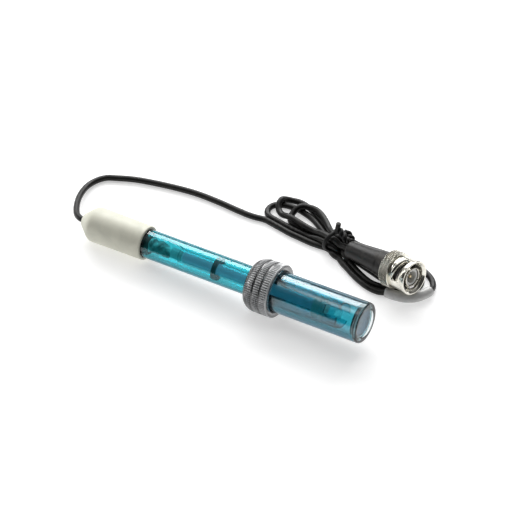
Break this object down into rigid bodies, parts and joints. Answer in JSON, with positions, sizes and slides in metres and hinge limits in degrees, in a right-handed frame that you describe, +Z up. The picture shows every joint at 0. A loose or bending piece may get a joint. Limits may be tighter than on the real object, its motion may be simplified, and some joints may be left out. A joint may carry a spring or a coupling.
{
  "type": "ph electrode with storage bottle and bayonet lead",
  "caption": "Glass-bulb pH electrode with a round body and cable cap, its tip in a clear screw-capped storage bottle, and a thin lead folded into a tied hank with a bayonet plug.",
  "frame": {"origin": "on the plane that everything lies on, below the middle of the electrode with its bottle", "axes": "+X along the electrode from its cable cap to the bottle's end, +Z up; the lead comes round to the +Y side"},
  "size_m": [0.1573, 0.0739, 0.0223],
  "materials": {
    "cream_plastic": "satin, off-white",
    "blue_plastic": "transparent, polished",
    "clear_plastic": "clear, polished",
    "glass": "clear, fire-polished",
    "silver_wire": "bright silver",
    "nickel": "bright nickel plate",
    "gold_contact": "gold plate",
    "black_rubber": "satin",
    "cord_jacket": "satin PVC jacket",
    "white_sleeve": "heat-shrink tube",
    "white_plastic": "turned PTFE",
    "epoxy": "cast resin",
    "silicone": "matt",
    "ceramic": "unglazed, porous"
  },
  "bodies": {
    "electrode": {"cable_cap": "cream_plastic", "electrode_body": "blue_plastic", "cord_inner_end": "cord_jacket", "potting_plug": "epoxy", "solder_sleeve": "black_rubber", "glass_stem": "glass", "stem_stopper": "silicone", "measuring_wire": "silver_wire", "reference_wire": "silver_wire", "centring_ring": "silicone", "front_seal": "epoxy", "reference_junction": "ceramic", "cord_lead": "cord_jacket", "cord_hank": "cord_jacket", "cord_sleeve": "white_sleeve", "cord_tie": "black_rubber", "plug_boot": "black_rubber", "plug_cord_end": "cord_jacket", "crimp_ferrule": "nickel", "plug_shell": "nickel", "plug_insulator": "white_plastic", "centre_pin": "gold_contact", "plug_gasket": "silicone", "retaining_clip": "nickel", "spring_washer": "nickel"},
    "bottle": {"storage_bottle": "clear_plastic", "bottle_o_ring": "silicone"},
    "cap_ring": {"cap_thrust_ring": "white_plastic"},
    "screw_cap": {"storage_cap": "clear_plastic"},
    "nut_washer": {"thrust_washer": "nickel"},
    "plug_nut": {"coupling_nut": "nickel"}
  },
  "joints": [
    {"name": "bottle_pull", "type": "slide", "parent": "electrode", "child": "bottle", "axis": [0.999, 0, 0.0451], "range_m": [-0.006, 0.045]},
    {"name": "cap_lift", "type": "slide", "parent": "bottle", "child": "cap_ring", "axis": [-0.999, 0, -0.0451], "range_m": [0, 0.0062]},
    {"name": "cap_turn", "type": "hinge", "parent": "cap_ring", "child": "screw_cap", "pos_m": [0.02066, 0, 0.01104], "axis": [-0.999, 0, -0.0451], "range_deg": [0, 900]},
    {"name": "nut_push", "type": "slide", "parent": "electrode", "child": "nut_washer", "axis": [0.9611, -0.2201, 0.1668], "range_m": [0, 0.0007], "stiffness_N_per_m": 4000, "springref_m": -0.0004},
    {"name": "nut_turn", "type": "hinge", "parent": "nut_washer", "child": "plug_nut", "pos_m": [0.05678, 0.03669, 0.01002], "axis": [0.9611, -0.2201, 0.1668], "continuous": true}
  ],
  "couplings": [
    {"joint": "cap_turn", "follows": "cap_lift", "rad_per_m": 2513.3}
  ]
}
